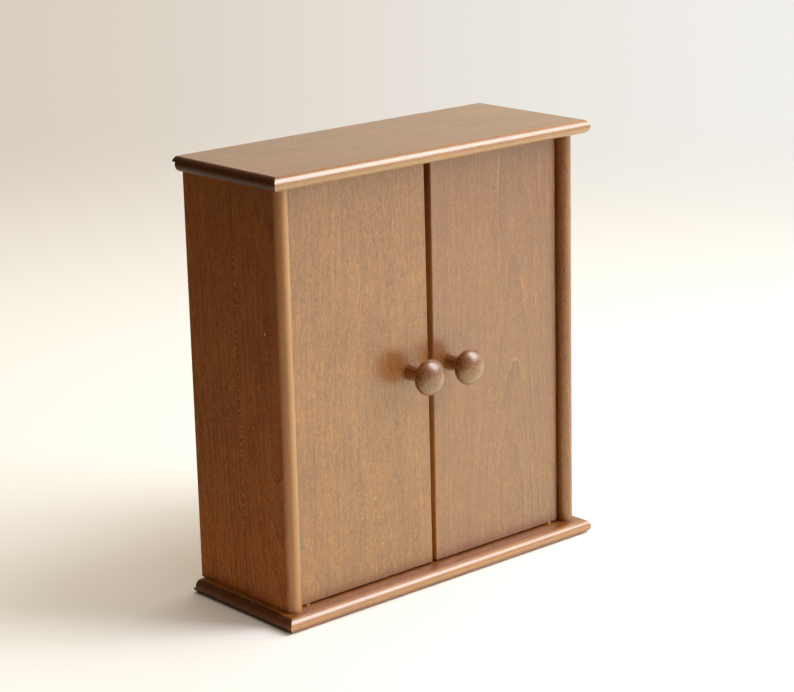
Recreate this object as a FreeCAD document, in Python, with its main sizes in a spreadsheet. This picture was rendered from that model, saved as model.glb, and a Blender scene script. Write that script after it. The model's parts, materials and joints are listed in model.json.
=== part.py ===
import FreeCAD, Part
import os
import Sketcher

# Desktop cabinet with two plain doors, in stained beech.
#
# +Z is up, the doors face -Y, and the origin is the middle of the base board's underside.
# Lengths are millimetres. Left and right are as seen from the front, so the left side is at -X.

Vector = FreeCAD.Vector

# The driving sizes, which go into the document's sheet
SIZES = [
    # the whole cabinet
    ("overall_height", 370.0),
    ("carcase_width", 320.0),
    ("side_depth", 122.0),
    # how near a plane an edge lies when it counts as in that plane
    ("edge_tolerance", 0.01),
    # top and base boards
    ("board_thick", 12.0),
    ("end_overhang", 10.0),
    ("front_overhang", 10.0),
    ("lip_thick", 4.0),
    # side boards
    ("side_thick", 13.0),
    ("side_rear_board_wide", 62.5),
    ("side_rabbet_wide", 5.0),
    # back panel and its pins
    ("panel_thick", 4.0),
    ("panel_slack", 0.25),
    ("panel_pin_round", 1.4),
    ("panel_pin_long", 14.0),
    ("panel_pin_head_round", 2.6),
    ("panel_pin_head_thick", 0.7),
    ("panel_pin_inset", 2.5),
    # shelf
    ("shelf_thick", 9.0),
    ("shelf_housing", 4.0),
    ("shelf_setback", 6.0),
    ("shelf_arris", 1.2),
    # dowels between the sides and the top and base
    ("dowel_round", 6.0),
    ("dowel_in_board", 8.0),
    ("dowel_in_side", 19.0),
    ("dowel_end_room", 0.5),
    ("dowel_chamfer", 0.7),
    ("dowel_inset", 22.0),
    # doors
    ("door_thick", 12.0),
    ("door_recess", 8.0),
    ("door_side_gap", 1.5),
    ("door_foot_gap", 1.2),
    ("door_head_gap", 1.2),
    ("meeting_gap_top", 6.4),
    ("meeting_gap_foot", 4.6),
    ("door_seam_from_edge", 73.0),
    ("door_arris", 1.0),
    # pivots
    ("pivot_from_edge", 8.5),
    ("pivot_from_face", 5.0),
    ("pivot_pin_round", 3.0),
    ("pivot_pin_in_door", 14.0),
    ("pivot_pin_chamfer", 0.3),
    ("pivot_running_gap", 0.05),
    ("pivot_end_room", 0.5),
    ("bush_round", 5.0),
    ("bush_long", 7.0),
    ("washer_round", 8.0),
    ("washer_running_gap", 0.1),
    # knobs
    ("knob_round", 30.0),
    ("knob_head_thick", 17.6),
    ("knob_rim_curve", 6.0),
    ("knob_projection", 32.0),
    ("knob_foot_round", 15.2),
    ("knob_neck_round", 13.2),
    ("knob_neck_curve", 0.8),
    ("knob_from_middle", 22.0),
    ("knob_rise", 171.0),
    ("insert_round", 7.0),
    ("insert_long", 10.0),
    ("knob_screw_round", 4.0),
    ("knob_screw_long", 19.0),
    ("knob_screw_hole_gap", 0.25),
    ("knob_screw_head_round", 7.6),
    ("knob_screw_head_thick", 2.2),
    ("knob_screw_head_side", 1.2),
    ("knob_washer_round", 10.0),
    ("knob_washer_thick", 0.8),
    ("recess_long", 4.4),
    ("recess_wide", 0.9),
    ("recess_deep", 1.2),
    # magnetic catch under the shelf
    ("catch_wide", 44.0),
    ("catch_deep", 14.0),
    ("catch_tall", 11.0),
    ("catch_corner", 1.5),
    ("catch_lug_out", 8.0),
    ("catch_lug_thick", 2.5),
    ("catch_lug_deep", 9.0),
    ("magnet_wide", 14.0),
    ("magnet_tall", 6.0),
    ("magnet_deep", 9.0),
    ("magnet_proud", 0.6),
    ("strike_air", 0.3),
    ("strike_wide", 16.0),
    ("strike_tall", 12.0),
    ("strike_thick", 1.2),
    ("strike_corner", 2.0),
    ("strike_over_washer", 14.3),
    # small countersunk screws of the catch and the strike plates
    ("small_screw_round", 2.4),
    ("small_screw_head_round", 4.8),
    ("small_screw_head_deep", 1.2),
    ("small_screw_long", 8.0),
    ("small_screw_point", 2.0),
    ("small_screw_tip_round", 0.6),
]

# Places of the panel's pins, as shares of the clear heights below and above the shelf and of the
# panel's width
LOWER_PIN_RISE_SHARES = (0.2, 0.65)
UPPER_PIN_RISE_SHARES = (0.25, 0.75)
PANEL_PIN_ACROSS_SHARES = (0.1, 0.37, 0.63, 0.9)
SHELF_PIN_SHARES = (0.25, 0.75)

doc = FreeCAD.newDocument("DesktopCabinet")
sheet = doc.addObject("Spreadsheet::Sheet", "Sizes")
for row, (alias, size) in enumerate(SIZES, start=1):
    sheet.set(f"A{row}", alias)
    sheet.set(f"B{row}", str(size))
    sheet.setAlias(f"B{row}", alias)
doc.recompute()


def minus(expression):
    return f"-({expression})"


def signed(sign, expression):
    """An X on the left side, where the sign is -1, or on the right side, where it is 1."""
    return expression if sign > 0 else minus(expression)


def amount(expression):
    """What an expression comes to, in millimetres."""
    return float(sheet.evalExpression(expression))


# Places worked out from the sizes, as expressions that the sketches and features are bound to.
# Those that start with HALF are distances from the middle of the cabinet along X.
ORIGIN = "0"
HALF_OUTER = "(Sizes.carcase_width / 2)"
HALF_INNER = f"({HALF_OUTER} - Sizes.side_thick)"
HALF_BOARD = f"({HALF_OUTER} + Sizes.end_overhang)"
BACK = "((Sizes.front_overhang + Sizes.side_depth) / 2)"
FRONT = minus(BACK)
SIDE_FRONT = f"({FRONT} + Sizes.front_overhang)"
SHOULDER = f"({BACK} - Sizes.panel_thick)"
SIDE_SEAM = f"({BACK} - Sizes.side_rear_board_wide)"
UNDERSIDE = "0"
FLOOR = "Sizes.board_thick"
CEILING = "(Sizes.overall_height - Sizes.board_thick)"
SUMMIT = "Sizes.overall_height"
HALF_PANEL_HOUSING = f"({HALF_INNER} + Sizes.side_rabbet_wide)"
HALF_PANEL = f"({HALF_PANEL_HOUSING} - Sizes.panel_slack)"
PANEL_FOOT = "(Sizes.lip_thick + Sizes.panel_slack)"
PANEL_HEAD = "(Sizes.overall_height - Sizes.lip_thick - Sizes.panel_slack)"

DOOR_FRONT = f"({SIDE_FRONT} + Sizes.door_recess)"
DOOR_BACK = f"({DOOR_FRONT} + Sizes.door_thick)"
DOOR_FOOT = f"({FLOOR} + Sizes.door_foot_gap)"
DOOR_HEAD = f"({CEILING} - Sizes.door_head_gap)"
HALF_HINGE_EDGE = f"({HALF_INNER} - Sizes.door_side_gap)"
HALF_DOOR_SEAM = f"({HALF_HINGE_EDGE} - Sizes.door_seam_from_edge)"
HALF_PIVOT = f"({HALF_HINGE_EDGE} - Sizes.pivot_from_edge)"
PIVOT_Y = f"({DOOR_FRONT} + Sizes.pivot_from_face)"
PIN_REACH = "(Sizes.bush_long - Sizes.pivot_end_room)"
BUSH_BORE = "(Sizes.pivot_pin_round + 2 * Sizes.pivot_running_gap)"
KNOB_Z = f"({DOOR_FOOT} + Sizes.knob_rise)"

# The catch and the shelf that carries it stand a clearance above the knobs' washers
MAGNET_Z = (
    f"({KNOB_Z} + Sizes.knob_washer_round / 2 + Sizes.strike_over_washer + Sizes.strike_tall / 2)"
)
SHELF_UNDER = f"({MAGNET_Z} + Sizes.catch_tall / 2)"
SHELF_TOP = f"({SHELF_UNDER} + Sizes.shelf_thick)"
SHELF_FRONT = f"({DOOR_BACK} + Sizes.shelf_setback)"
HALF_SHELF = f"({HALF_INNER} + Sizes.shelf_housing)"

STRIKE_BACK = f"({DOOR_BACK} + Sizes.strike_thick)"
MAGNET_FRONT = f"({STRIKE_BACK} + Sizes.strike_air)"
CATCH_FRONT = f"({MAGNET_FRONT} + Sizes.magnet_proud)"
CATCH_BACK = f"({CATCH_FRONT} + Sizes.catch_deep)"
CATCH_FOOT = f"({SHELF_UNDER} - Sizes.catch_tall)"
HALF_CATCH = "(Sizes.catch_wide / 2)"
HALF_CATCH_SCREW = f"({HALF_CATCH} + Sizes.catch_lug_out / 2)"
CATCH_SCREW_Y = f"({CATCH_BACK} - Sizes.catch_lug_deep / 2)"
HALF_MAGNET = "(Sizes.catch_wide / 4)"
# A quarter of the mean gap between the doors keeps the strike plates back from the meeting edges
MEAN_MEETING_GAP = "((Sizes.meeting_gap_top + Sizes.meeting_gap_foot) / 2)"
HALF_STRIKE = f"({HALF_MAGNET} + {MEAN_MEETING_GAP} / 4)"

SIDES = (("left", -1), ("right", 1))
DOWEL_YS = (f"({SIDE_FRONT} + Sizes.dowel_inset)", f"({BACK} - Sizes.dowel_inset)")
HALF_DOWEL = f"({HALF_OUTER} - Sizes.side_thick / 2)"

# Turned pieces are drawn along their own Z and then laid along these directions
FORWARDS = FreeCAD.Rotation(Vector(1, 0, 0), 90)
UPWARDS = FreeCAD.Rotation()

pieces = []


# Sketches
def new_body(label, is_model=False):
    """A body for a piece, or for a model that copies() repeats and that isn't a piece itself."""
    body = doc.addObject("PartDesign::Body", label)
    body.Label = label
    if not is_model:
        pieces.append(body)
    return body


def new_sketch(body, role, offset=None):
    """A sketch on one of the body's own planes, moved along the plane's normal by the offset."""
    plane = next(feature for feature in body.Origin.OriginFeatures if feature.Role == role)
    sketch = body.newObject("Sketcher::SketchObject", "Sketch")
    sketch.AttachmentSupport = [(plane, "")]
    sketch.MapMode = "FlatFace"
    if offset is not None:
        sketch.setExpression(".AttachmentOffset.Base.z", offset)
    return sketch


def bind(sketch, kind, places, expression):
    """Adds a constraint that follows an expression."""
    index = sketch.addConstraint(Sketcher.Constraint(kind, *places, amount(expression)))
    sketch.setExpression(f"Constraints[{index}]", expression)


def outline(sketch, corners, bulges=None):
    """A closed outline through corners given as pairs of expressions, across and up.

    A bulge makes an arc of the side that starts at the corner of that number. It holds a point
    of the arc, the constraint that sets the arc's radius or one coordinate of its centre, and
    the expression for that.
    """
    bulges = bulges or {}
    places = [Vector(amount(across), amount(up), 0) for across, up in corners]
    sides = []
    for number, start in enumerate(places):
        end = places[(number + 1) % len(places)]
        if number in bulges:
            tip = Vector(*[amount(expression) for expression in bulges[number][0]], 0)
            side = Part.Arc(start, tip, end)
        else:
            side = Part.LineSegment(start, end)
        index = sketch.addGeometry(side, False)
        to_first = sketch.getPoint(index, 1).distanceToPoint(start)
        to_second = sketch.getPoint(index, 2).distanceToPoint(start)
        sides.append((index, 1, 2) if to_first < to_second else (index, 2, 1))
    for (index, _, end), (following, start, _) in zip(sides, sides[1:] + sides[:1]):
        sketch.addConstraint(Sketcher.Constraint("Coincident", index, end, following, start))
    for (index, start, _), (across, up) in zip(sides, corners):
        bind(sketch, "DistanceX", (-1, 1, index, start), across)
        bind(sketch, "DistanceY", (-1, 1, index, start), up)
    for number, (_, kind, expression) in bulges.items():
        arc = sides[number][0]
        bind(sketch, kind, (arc,) if kind == "Radius" else (-1, 1, arc, 3), expression)


def rectangle(sketch, low_across, high_across, low_up, high_up):
    low_side = [(low_across, low_up), (high_across, low_up)]
    high_side = [(high_across, high_up), (low_across, high_up)]
    outline(sketch, low_side + high_side)


def centred_rectangle(sketch, across, up, wide, tall):
    left = f"({across} - {wide} / 2)"
    right = f"({across} + {wide} / 2)"
    rectangle(sketch, left, right, f"({up} - {tall} / 2)", f"({up} + {tall} / 2)")


def circle(sketch, across, up, diameter):
    middle = Vector(amount(across), amount(up), 0)
    ring = sketch.addGeometry(Part.Circle(middle, Vector(0, 0, 1), amount(diameter) / 2), False)
    bind(sketch, "DistanceX", (-1, 1, ring, 3), across)
    bind(sketch, "DistanceY", (-1, 1, ring, 3), up)
    bind(sketch, "Diameter", (ring,), diameter)


# Features
def pad(body, sketch, length, symmetric=False, reverse=False):
    feature = body.newObject("PartDesign::Pad", "Pad")
    feature.Profile = sketch
    feature.setExpression("Length", length)
    feature.SideType = "Symmetric" if symmetric else "One side"
    feature.Reversed = reverse
    doc.recompute()


def pocket(body, sketch, length=None, symmetric=False, reverse=False):
    """A cut of the given length, or right through. It has to take something away."""
    before = body.Shape.Volume
    feature = body.newObject("PartDesign::Pocket", "Pocket")
    feature.Profile = sketch
    if length is None:
        feature.Type = "ThroughAll"
    else:
        feature.setExpression("Length", length)
    feature.SideType = "Symmetric" if symmetric else "One side"
    feature.Reversed = reverse
    doc.recompute()
    if not body.Shape.Volume < before:
        raise RuntimeError(f"a cut in {body.Label} takes nothing away")


def round_edges(body, wanted, radius):
    """Rounds the edges that the wanted function picks."""
    base = body.Tip
    names = [f"Edge{number}" for number, edge in enumerate(base.Shape.Edges, start=1) if wanted(edge)]
    if not names:
        raise RuntimeError(f"no edge to round on {body.Label}")
    feature = body.newObject("PartDesign::Fillet", "Fillet")
    feature.Base = (base, names)
    feature.setExpression("Radius", radius)
    doc.recompute()


def lies_at(edge, direction, expression):
    """Whether a whole edge lies in the plane where that coordinate has the expression's value."""
    low = getattr(edge.BoundBox, direction + "Min")
    high = getattr(edge.BoundBox, direction + "Max")
    place = amount(expression)
    return max(abs(low - place), abs(high - place)) < amount("Sizes.edge_tolerance")


def holes(body, role, offset, places, diameter, depth=None, reverse=False):
    """Round holes with their axes square to the plane, sunk from the offset."""
    sketch = new_sketch(body, role, offset)
    for across, up in places:
        circle(sketch, across, up, diameter)
    pocket(body, sketch, depth, symmetric=depth is None, reverse=reverse)


def turned(label, corners, bulges=None, is_model=False):
    """A piece turned about its own Z, from a profile of radius and height."""
    body = new_body(label, is_model)
    sketch = new_sketch(body, "XZ_Plane")
    outline(sketch, corners, bulges)
    feature = body.newObject("PartDesign::Revolution", "Revolution")
    feature.Profile = sketch
    feature.ReferenceAxis = (sketch, ["V_Axis"])
    doc.recompute()
    return body


def ring(label, bore, outside, length):
    """A turned ring that stands on its own origin."""
    inner = f"({bore} / 2)"
    outer = f"({outside} / 2)"
    return turned(label, [(inner, ORIGIN), (outer, ORIGIN), (outer, length), (inner, length)])


def lay(body, turn, across, deep, up):
    """Puts a piece drawn about its own origin in its place."""
    body.Placement = FreeCAD.Placement(Vector(), turn)
    body.setExpression(".Placement.Base.x", across)
    body.setExpression(".Placement.Base.y", deep)
    body.setExpression(".Placement.Base.z", up)


def copies(label, model, turn, places):
    """One node that holds separate copies of a model."""
    links = []
    for number, place in enumerate(places, start=1):
        link = doc.addObject("App::Link", f"{label}_{number}")
        link.LinkedObject = model
        lay(link, turn, *place)
        links.append(link)
    compound = doc.addObject("Part::Compound", label)
    compound.Label = label
    compound.Links = links
    compound.Placement = FreeCAD.Placement()
    pieces.append(compound)


# Where the panel's pins go, as pairs of X and Z
def pins_up_side(sign):
    across = signed(sign, f"({HALF_INNER} + Sizes.panel_pin_inset)")
    below = [f"({FLOOR} + {share} * ({SHELF_UNDER} - {FLOOR}))" for share in LOWER_PIN_RISE_SHARES]
    above = [f"({SHELF_TOP} + {share} * ({CEILING} - {SHELF_TOP}))" for share in UPPER_PIN_RISE_SHARES]
    return [(across, up) for up in below + above]


def pins_across(shares, up):
    return [(f"((2 * {share} - 1) * {HALF_PANEL})", up) for share in shares]


PINS_FROM_ENDS = "((Sizes.lip_thick + Sizes.board_thick) / 2)"
PINS_IN_BASE = pins_across(PANEL_PIN_ACROSS_SHARES, PINS_FROM_ENDS)
PINS_IN_TOP = pins_across(PANEL_PIN_ACROSS_SHARES, f"({SUMMIT} - {PINS_FROM_ENDS})")
PINS_IN_SHELF = pins_across(SHELF_PIN_SHARES, f"({SHELF_UNDER} + Sizes.shelf_thick / 2)")
ALL_PINS = pins_up_side(-1) + pins_up_side(1) + PINS_IN_TOP + PINS_IN_BASE + PINS_IN_SHELF


def panel_pin_holes(body, places):
    """Blind holes that take the pins, in the face that the back panel lies on."""
    depth = "(Sizes.panel_pin_long - Sizes.panel_thick)"
    holes(body, "XZ_Plane", minus(SHOULDER), places, "Sizes.panel_pin_round", depth, reverse=True)


# Top and base boards
def rounded_board(label, low, high, lip_at_top):
    """A board with a half-round front and half-round ends that mitre at the corners.

    A rabbet along the whole back edge takes the back panel and leaves a lip flush with the back.
    """
    body = new_body(label)
    nose = "(Sizes.board_thick / 2)"
    middle = f"({low} + {nose})"
    nose_start = f"({FRONT} + {nose})"
    if lip_at_top:
        lip = f"({high} - Sizes.lip_thick)"
        back_corners = [(SHOULDER, low), (SHOULDER, lip), (BACK, lip), (BACK, high)]
    else:
        lip = f"({low} + Sizes.lip_thick)"
        back_corners = [(BACK, low), (BACK, lip), (SHOULDER, lip), (SHOULDER, high)]
    corners = [(nose_start, low)] + back_corners + [(nose_start, high)]
    profile = new_sketch(body, "YZ_Plane")
    outline(profile, corners, {5: ((FRONT, middle), "DistanceX", nose_start)})
    pad(body, profile, f"(2 * {HALF_BOARD})", symmetric=True)

    # what lies outside a half-round is cut from each end, from front to back
    waste = new_sketch(body, "XZ_Plane")
    for _, sign in SIDES:
        start = signed(sign, f"({HALF_BOARD} - {nose})")
        beyond = signed(sign, f"({HALF_BOARD} + {nose})")
        tip = (signed(sign, HALF_BOARD), middle)
        ends = [(start, low), (beyond, low), (beyond, high), (start, high)]
        outline(waste, ends, {3: (tip, "DistanceX", start)})
    pocket(body, waste, symmetric=True)

    face = low if lip_at_top else high
    bushes = [(signed(sign, HALF_PIVOT), PIVOT_Y) for _, sign in SIDES]
    dowels = [(signed(sign, HALF_DOWEL), deep) for _, sign in SIDES for deep in DOWEL_YS]
    holes(body, "XY_Plane", face, bushes, "Sizes.bush_round", "Sizes.bush_long", lip_at_top)
    holes(body, "XY_Plane", face, dowels, "Sizes.dowel_round", "Sizes.dowel_in_board", lip_at_top)
    panel_pin_holes(body, PINS_IN_TOP if lip_at_top else PINS_IN_BASE)


# Sides, each of a front board and a rear board glued edge to edge
def end_dowel_holes(body, sign, deep):
    place = [(signed(sign, HALF_DOWEL), deep)]
    holes(body, "XY_Plane", FLOOR, place, "Sizes.dowel_round", "Sizes.dowel_in_side", reverse=True)
    holes(body, "XY_Plane", CEILING, place, "Sizes.dowel_round", "Sizes.dowel_in_side")


def shelf_housing(body, sign, front, back):
    """The groove across the inner face that the shelf's end slides into."""
    groove = new_sketch(body, "XY_Plane", SHELF_UNDER)
    rectangle(groove, signed(sign, HALF_INNER), signed(sign, HALF_SHELF), front, back)
    pocket(body, groove, "Sizes.shelf_thick", reverse=True)


def side_front_board(name, sign):
    body = new_body(f"{name}_side_front_board")
    outer = signed(sign, HALF_OUTER)
    inner = signed(sign, HALF_INNER)
    nose_start = f"({SIDE_FRONT} + Sizes.side_thick / 2)"
    tip = (signed(sign, HALF_DOWEL), SIDE_FRONT)
    plan = new_sketch(body, "XY_Plane", FLOOR)
    corners = [(outer, nose_start), (outer, SIDE_SEAM), (inner, SIDE_SEAM), (inner, nose_start)]
    outline(plan, corners, {3: (tip, "DistanceY", nose_start)})
    pad(body, plan, f"({CEILING} - {FLOOR})")
    shelf_housing(body, sign, SHELF_FRONT, SIDE_SEAM)
    end_dowel_holes(body, sign, DOWEL_YS[0])


def side_rear_board(name, sign):
    body = new_body(f"{name}_side_rear_board")
    outer = signed(sign, HALF_OUTER)
    inner = signed(sign, HALF_INNER)
    rabbet = signed(sign, HALF_PANEL_HOUSING)
    plan = new_sketch(body, "XY_Plane", FLOOR)
    outer_corners = [(outer, SIDE_SEAM), (outer, BACK)]
    inner_corners = [(rabbet, BACK), (rabbet, SHOULDER), (inner, SHOULDER), (inner, SIDE_SEAM)]
    outline(plan, outer_corners + inner_corners)
    pad(body, plan, f"({CEILING} - {FLOOR})")
    shelf_housing(body, sign, SIDE_SEAM, SHOULDER)
    end_dowel_holes(body, sign, DOWEL_YS[1])
    panel_pin_holes(body, pins_up_side(sign))


def carcase_dowels():
    """Eight beech dowels, two at each end of each side."""
    radius = "(Sizes.dowel_round / 2)"
    small = f"({radius} - Sizes.dowel_chamfer)"
    length = "(Sizes.dowel_in_board + Sizes.dowel_in_side - 2 * Sizes.dowel_end_room)"
    corners = [
        (ORIGIN, ORIGIN),
        (small, ORIGIN),
        (radius, "Sizes.dowel_chamfer"),
        (radius, f"({length} - Sizes.dowel_chamfer)"),
        (small, length),
        (ORIGIN, length),
    ]
    dowel = turned("dowel_model", corners, is_model=True)
    feet = (
        f"({FLOOR} - Sizes.dowel_in_board + Sizes.dowel_end_room)",
        f"({CEILING} - Sizes.dowel_in_side + Sizes.dowel_end_room)",
    )
    middles = [(signed(sign, HALF_DOWEL), deep) for _, sign in SIDES for deep in DOWEL_YS]
    places = [(across, deep, foot) for across, deep in middles for foot in feet]
    copies("carcase_dowels", dowel, UPWARDS, places)


# Back panel, pinned into the rabbets
def back_panel():
    body = new_body("back_panel")
    face = new_sketch(body, "XZ_Plane", minus(SHOULDER))
    rectangle(face, minus(HALF_PANEL), HALF_PANEL, PANEL_FOOT, PANEL_HEAD)
    pad(body, face, "Sizes.panel_thick", reverse=True)
    holes(body, "XZ_Plane", minus(BACK), ALL_PINS, "Sizes.panel_pin_round")
    head_deep = "Sizes.panel_pin_head_thick"
    holes(body, "XZ_Plane", minus(BACK), ALL_PINS, "Sizes.panel_pin_head_round", head_deep, reverse=True)


def back_panel_pins():
    """Flat-headed steel pins, driven flush with the panel's back face."""
    head = "(Sizes.panel_pin_head_round / 2)"
    shank = "(Sizes.panel_pin_round / 2)"
    corners = [
        (ORIGIN, ORIGIN),
        (head, ORIGIN),
        (head, "Sizes.panel_pin_head_thick"),
        (shank, "Sizes.panel_pin_head_thick"),
        (shank, "Sizes.panel_pin_long"),
        (ORIGIN, "Sizes.panel_pin_long"),
    ]
    pin = turned("panel_pin_model", corners, is_model=True)
    copies("back_panel_pins", pin, FORWARDS, [(across, BACK, up) for across, up in ALL_PINS])


# Shelf, housed in both sides
def shelf():
    body = new_body("shelf")
    plan = new_sketch(body, "XY_Plane", SHELF_UNDER)
    rectangle(plan, minus(HALF_SHELF), HALF_SHELF, SHELF_FRONT, SHOULDER)
    pad(body, plan, "Sizes.shelf_thick")
    round_edges(body, lambda edge: is_long_front_edge(edge, SHELF_FRONT), "Sizes.shelf_arris")
    screws = [(signed(sign, HALF_CATCH_SCREW), CATCH_SCREW_Y) for _, sign in SIDES]
    depth = "(Sizes.small_screw_long - Sizes.catch_lug_thick)"
    holes(body, "XY_Plane", SHELF_UNDER, screws, "Sizes.small_screw_round", depth, reverse=True)
    panel_pin_holes(body, PINS_IN_SHELF)


def is_long_front_edge(edge, front):
    return lies_at(edge, "Y", front) and edge.BoundBox.XLength > amount(HALF_SHELF)


# Doors, each of a hinge board and a knob board glued edge to edge
def door_board(label, corners, seam):
    """A door board with the arrises of both faces eased, except along the glue line."""
    body = new_body(label)
    face = new_sketch(body, "XZ_Plane", minus(DOOR_FRONT))
    outline(face, corners)
    pad(body, face, "Sizes.door_thick", reverse=True)

    def is_outer_arris(edge):
        on_a_face = lies_at(edge, "Y", DOOR_FRONT) or lies_at(edge, "Y", DOOR_BACK)
        return on_a_face and not lies_at(edge, "X", seam)

    round_edges(body, is_outer_arris, "Sizes.door_arris")
    return body


def door_hinge_board(name, sign):
    edge = signed(sign, HALF_HINGE_EDGE)
    seam = signed(sign, HALF_DOOR_SEAM)
    corners = [(edge, DOOR_FOOT), (seam, DOOR_FOOT), (seam, DOOR_HEAD), (edge, DOOR_HEAD)]
    body = door_board(f"{name}_door_hinge_board", corners, seam)
    pivot = [(signed(sign, HALF_PIVOT), PIVOT_Y)]
    depth = "Sizes.pivot_pin_in_door"
    holes(body, "XY_Plane", DOOR_FOOT, pivot, "Sizes.pivot_pin_round", depth, reverse=True)
    holes(body, "XY_Plane", DOOR_HEAD, pivot, "Sizes.pivot_pin_round", depth)


def door_knob_board(name, sign):
    """The meeting edge is planed a little out of square, so the gap widens towards the top."""
    seam = signed(sign, HALF_DOOR_SEAM)
    foot = signed(sign, "(Sizes.meeting_gap_foot / 2)")
    head = signed(sign, "(Sizes.meeting_gap_top / 2)")
    corners = [(seam, DOOR_FOOT), (foot, DOOR_FOOT), (head, DOOR_HEAD), (seam, DOOR_HEAD)]
    body = door_board(f"{name}_door_knob_board", corners, seam)
    screw_hole = "(Sizes.knob_screw_round + 2 * Sizes.knob_screw_hole_gap)"
    knob_place = [(signed(sign, "Sizes.knob_from_middle"), KNOB_Z)]
    holes(body, "XZ_Plane", minus(DOOR_FRONT), knob_place, screw_hole)
    strike_screw = [(signed(sign, HALF_STRIKE), MAGNET_Z)]
    depth = "(Sizes.small_screw_long - Sizes.strike_thick)"
    holes(body, "XZ_Plane", minus(DOOR_BACK), strike_screw, "Sizes.small_screw_round", depth, reverse=True)


# Pivots
def pivot_bush(label, sign, up):
    bush = ring(label, BUSH_BORE, "Sizes.bush_round", "Sizes.bush_long")
    lay(bush, UPWARDS, signed(sign, HALF_PIVOT), PIVOT_Y, up)


def pivot_washer(name, sign):
    """A brass washer that carries the door clear of the base."""
    thick = "(Sizes.door_foot_gap - Sizes.washer_running_gap)"
    washer = ring(f"{name}_pivot_washer", BUSH_BORE, "Sizes.washer_round", thick)
    lay(washer, UPWARDS, signed(sign, HALF_PIVOT), PIVOT_Y, FLOOR)


def pivot_pin(label, sign, gap, up):
    """A steel pin fixed in the door's end grain, chamfered at both ends."""
    radius = "(Sizes.pivot_pin_round / 2)"
    chamfer = "Sizes.pivot_pin_chamfer"
    length = f"(Sizes.pivot_pin_in_door + {gap} + {PIN_REACH})"
    small = f"({radius} - {chamfer})"
    corners = [
        (ORIGIN, ORIGIN),
        (small, ORIGIN),
        (radius, chamfer),
        (radius, f"({length} - {chamfer})"),
        (small, length),
        (ORIGIN, length),
    ]
    pin = turned(label, corners)
    lay(pin, UPWARDS, signed(sign, HALF_PIVOT), PIVOT_Y, up)


# Knobs
def knob(name, sign):
    """A turned knob: an oblate head on a short stem with a shallow waist.

    Three arcs that run smoothly into each other make the head: a small one round its rim, and a
    large one for its face and for its back. The large ones have their centres on the axis.
    """
    foot = "(Sizes.knob_foot_round / 2)"
    neck = "(Sizes.knob_neck_round / 2)"
    rim = "(Sizes.knob_round / 2)"
    half_head = "(Sizes.knob_head_thick / 2)"
    head_middle = f"(Sizes.knob_projection - {half_head})"
    rim_centre = f"({rim} - Sizes.knob_rim_curve)"
    spare = f"({half_head} - Sizes.knob_rim_curve)"
    to_centre = f"(({rim_centre} ^ 2 - {spare} ^ 2) / (2 * {spare}))"
    face_curve = f"({to_centre} + {half_head})"
    join = f"({face_curve} * {rim_centre} / ({face_curve} - Sizes.knob_rim_curve))"
    join_rise = f"(Sizes.knob_rim_curve * {to_centre} / ({face_curve} - Sizes.knob_rim_curve))"

    def on_back(radius):
        """The height of the head's back at a radius."""
        return f"({head_middle} + {to_centre} - sqrt({face_curve} ^ 2 - {radius} ^ 2))"

    def on_face(radius):
        """The height of the head's face at a radius."""
        return f"({head_middle} - {to_centre} + sqrt({face_curve} ^ 2 - {radius} ^ 2))"

    neck_end = on_back(neck)
    waist = (f"(({foot} + {neck}) / 2 - Sizes.knob_neck_curve)", f"({neck_end} / 2)")
    chord_squared = f"(({foot} - {neck}) ^ 2 + {neck_end} ^ 2)"
    waist_curve = f"({chord_squared} / (8 * Sizes.knob_neck_curve) + Sizes.knob_neck_curve / 2)"
    back_middle = f"(({neck} + {join}) / 2)"
    face_middle = f"({join} / 2)"
    corners = [
        (ORIGIN, ORIGIN),
        (foot, ORIGIN),
        (neck, neck_end),
        (join, f"({head_middle} - {join_rise})"),
        (join, f"({head_middle} + {join_rise})"),
        (ORIGIN, "Sizes.knob_projection"),
    ]
    bulges = {
        1: (waist, "Radius", waist_curve),
        2: ((back_middle, on_back(back_middle)), "Radius", face_curve),
        3: ((rim, head_middle), "Radius", "Sizes.knob_rim_curve"),
        4: ((face_middle, on_face(face_middle)), "Radius", face_curve),
    }
    body = turned(f"{name}_knob", corners, bulges)
    middle = [(ORIGIN, ORIGIN)]
    holes(body, "XY_Plane", ORIGIN, middle, "Sizes.insert_round", "Sizes.insert_long", reverse=True)
    lay(body, FORWARDS, signed(sign, "Sizes.knob_from_middle"), DOOR_FRONT, KNOB_Z)


def knob_insert(name, sign):
    long = "Sizes.insert_long"
    insert = ring(f"{name}_knob_insert", "Sizes.knob_screw_round", "Sizes.insert_round", long)
    lay(insert, FORWARDS, signed(sign, "Sizes.knob_from_middle"), DOOR_FRONT, KNOB_Z)


def knob_washer(name, sign):
    thick = "Sizes.knob_washer_thick"
    washer = ring(f"{name}_knob_washer", "Sizes.knob_screw_round", "Sizes.knob_washer_round", thick)
    lay(washer, FORWARDS, signed(sign, "Sizes.knob_from_middle"), f"({DOOR_BACK} + {thick})", KNOB_Z)


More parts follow.
